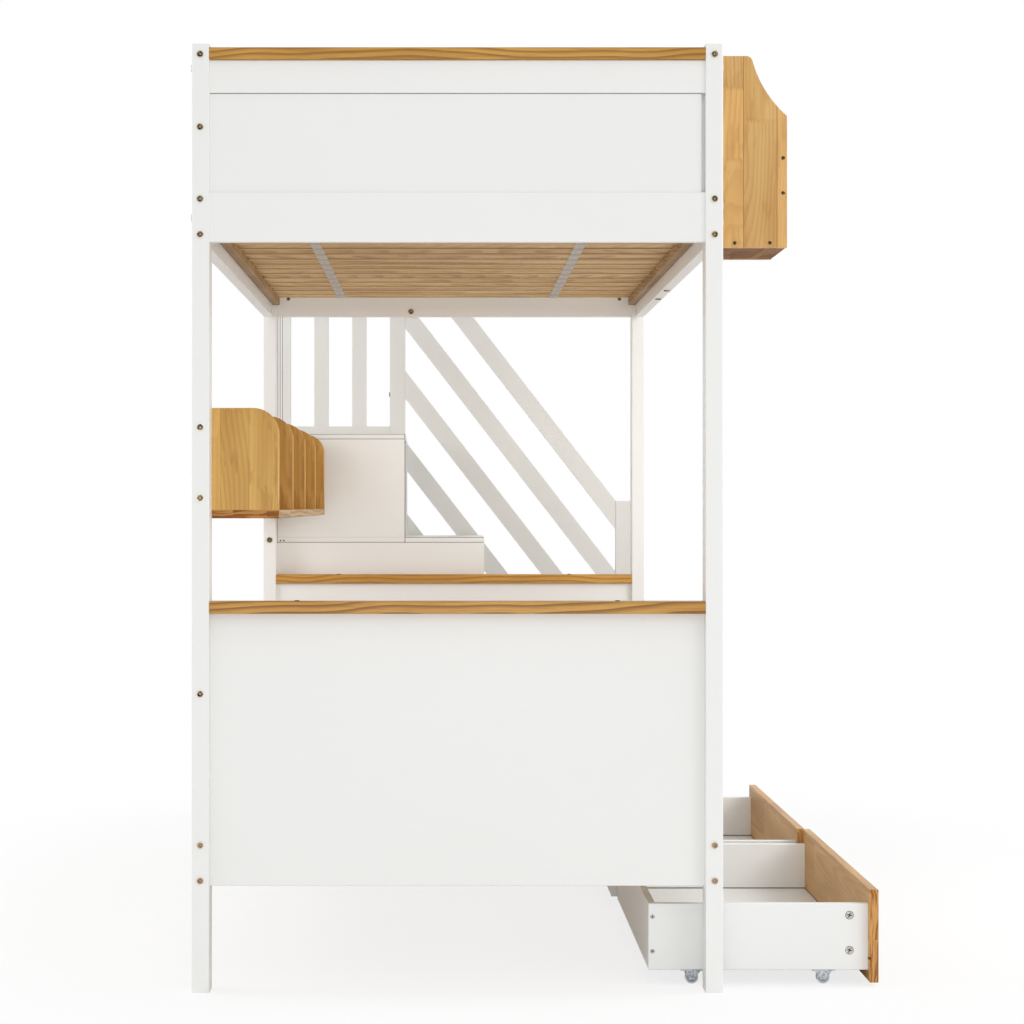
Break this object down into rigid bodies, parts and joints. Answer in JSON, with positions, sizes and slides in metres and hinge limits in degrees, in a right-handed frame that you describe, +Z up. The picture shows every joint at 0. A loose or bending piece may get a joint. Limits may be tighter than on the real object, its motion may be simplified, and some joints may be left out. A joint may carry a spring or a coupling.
{
  "type": "bunk bed with storage stairs",
  "caption": "Bunk bed of white posts and panels with pine caps and shelves, storage stairs and a railing across one end, and rolling drawers under the lower bunk.",
  "frame": {"origin": "middle of the whole footprint on the floor, stairs and pulled-out drawers included", "axes": "+Y along the bed from the plain end to the stairs, +X across it to the side where the drawers come out, +Z up"},
  "size_m": [1.3834, 2.4344, 1.893],
  "materials": {
    "white_paint": "satin white paint on solid wood",
    "white_board": "smooth white coated board",
    "pine": "clear satin lacquer on pine",
    "slat_pine": "planed bare pine",
    "webbing": "white woven webbing",
    "zinc_steel": "zinc plated",
    "caster_steel": "pressed, plated",
    "wheel_plastic": "clear grey"
  },
  "bodies": {
    "frame": {"post_near_left": "white_paint", "post_near_right": "white_paint", "post_far_left": "white_paint", "post_far_right": "white_paint", "upper_near_cap": "pine", "upper_near_top_rail": "white_paint", "upper_near_panel": "white_paint", "upper_near_bottom_rail": "white_paint", "upper_far_cap": "pine", "upper_far_top_rail": "white_paint", "upper_far_panel": "white_paint", "upper_far_bottom_rail": "white_paint", "guard_stiles": "white_paint", "lower_end_caps": "pine", "lower_end_panels": "white_paint", "upper_side_rails": "white_paint", "lower_side_rails": "white_paint", "top_guard_rails": "white_paint", "middle_guard_rails": "white_paint", "lower_guard_rail": "white_paint", "slat_ledgers": "slat_pine", "bed_slats": "slat_pine", "slat_tapes": "webbing", "wall_shelf_back": "pine", "wall_shelf_bottom": "pine", "wall_shelf_dividers": "pine", "outer_shelf_sides": "pine", "outer_shelf_bottom": "pine", "outer_shelf_lip": "pine", "outer_shelf_back": "pine", "stair_bed_side_panels": "white_board", "stair_outer_panels": "white_board", "stair_wall_panels": "white_board", "stair_dividers": "white_board", "stair_treads": "white_board", "stair_shelves": "white_board", "railing_posts": "white_paint", "railing_rails": "white_paint", "railing_slats": "white_paint", "railing_diagonals": "white_paint", "frame_bolts": "zinc_steel", "barrel_nuts": "zinc_steel"},
    "near_drawer": {"near_drawer_front": "pine", "near_drawer_sides": "white_board", "near_drawer_back": "white_board", "near_drawer_bottom": "white_board", "near_drawer_casters": "caster_steel"},
    "near_drawer_wheel_1": {"near_drawer_wheel_1": "wheel_plastic"},
    "near_drawer_wheel_2": {"near_drawer_wheel_2": "wheel_plastic"},
    "near_drawer_wheel_3": {"near_drawer_wheel_3": "wheel_plastic"},
    "near_drawer_wheel_4": {"near_drawer_wheel_4": "wheel_plastic"},
    "far_drawer": {"far_drawer_front": "pine", "far_drawer_sides": "white_board", "far_drawer_back": "white_board", "far_drawer_bottom": "white_board", "far_drawer_casters": "caster_steel"},
    "far_drawer_wheel_1": {"far_drawer_wheel_1": "wheel_plastic"},
    "far_drawer_wheel_2": {"far_drawer_wheel_2": "wheel_plastic"},
    "far_drawer_wheel_3": {"far_drawer_wheel_3": "wheel_plastic"},
    "far_drawer_wheel_4": {"far_drawer_wheel_4": "wheel_plastic"}
  },
  "joints": [
    {"name": "near_drawer_slide", "type": "slide", "parent": "frame", "child": "near_drawer", "axis": [1, 0, 0], "range_m": [-0.321, 0.12]},
    {"name": "near_drawer_wheel_1_spin", "type": "hinge", "parent": "near_drawer", "child": "near_drawer_wheel_1", "pos_m": [0.31775, -1.11175, 0.01325], "axis": [0, 1, 0], "continuous": true},
    {"name": "near_drawer_wheel_2_spin", "type": "hinge", "parent": "near_drawer", "child": "near_drawer_wheel_2", "pos_m": [0.58475, -1.11175, 0.01325], "axis": [0, 1, 0], "continuous": true},
    {"name": "near_drawer_wheel_3_spin", "type": "hinge", "parent": "near_drawer", "child": "near_drawer_wheel_3", "pos_m": [0.31775, -0.26075, 0.01325], "axis": [0, 1, 0], "continuous": true},
    {"name": "near_drawer_wheel_4_spin", "type": "hinge", "parent": "near_drawer", "child": "near_drawer_wheel_4", "pos_m": [0.58475, -0.26075, 0.01325], "axis": [0, 1, 0], "continuous": true},
    {"name": "far_drawer_slide", "type": "slide", "parent": "frame", "child": "far_drawer", "axis": [1, 0, 0], "range_m": [-0.309, 0.12]},
    {"name": "far_drawer_wheel_1_spin", "type": "hinge", "parent": "far_drawer", "child": "far_drawer_wheel_1", "pos_m": [0.30575, -0.17875, 0.01325], "axis": [0, 1, 0], "continuous": true},
    {"name": "far_drawer_wheel_2_spin", "type": "hinge", "parent": "far_drawer", "child": "far_drawer_wheel_2", "pos_m": [0.57275, -0.17875, 0.01325], "axis": [0, 1, 0], "continuous": true},
    {"name": "far_drawer_wheel_3_spin", "type": "hinge", "parent": "far_drawer", "child": "far_drawer_wheel_3", "pos_m": [0.30575, 0.67225, 0.01325], "axis": [0, 1, 0], "continuous": true},
    {"name": "far_drawer_wheel_4_spin", "type": "hinge", "parent": "far_drawer", "child": "far_drawer_wheel_4", "pos_m": [0.57275, 0.67225, 0.01325], "axis": [0, 1, 0], "continuous": true}
  ]
}
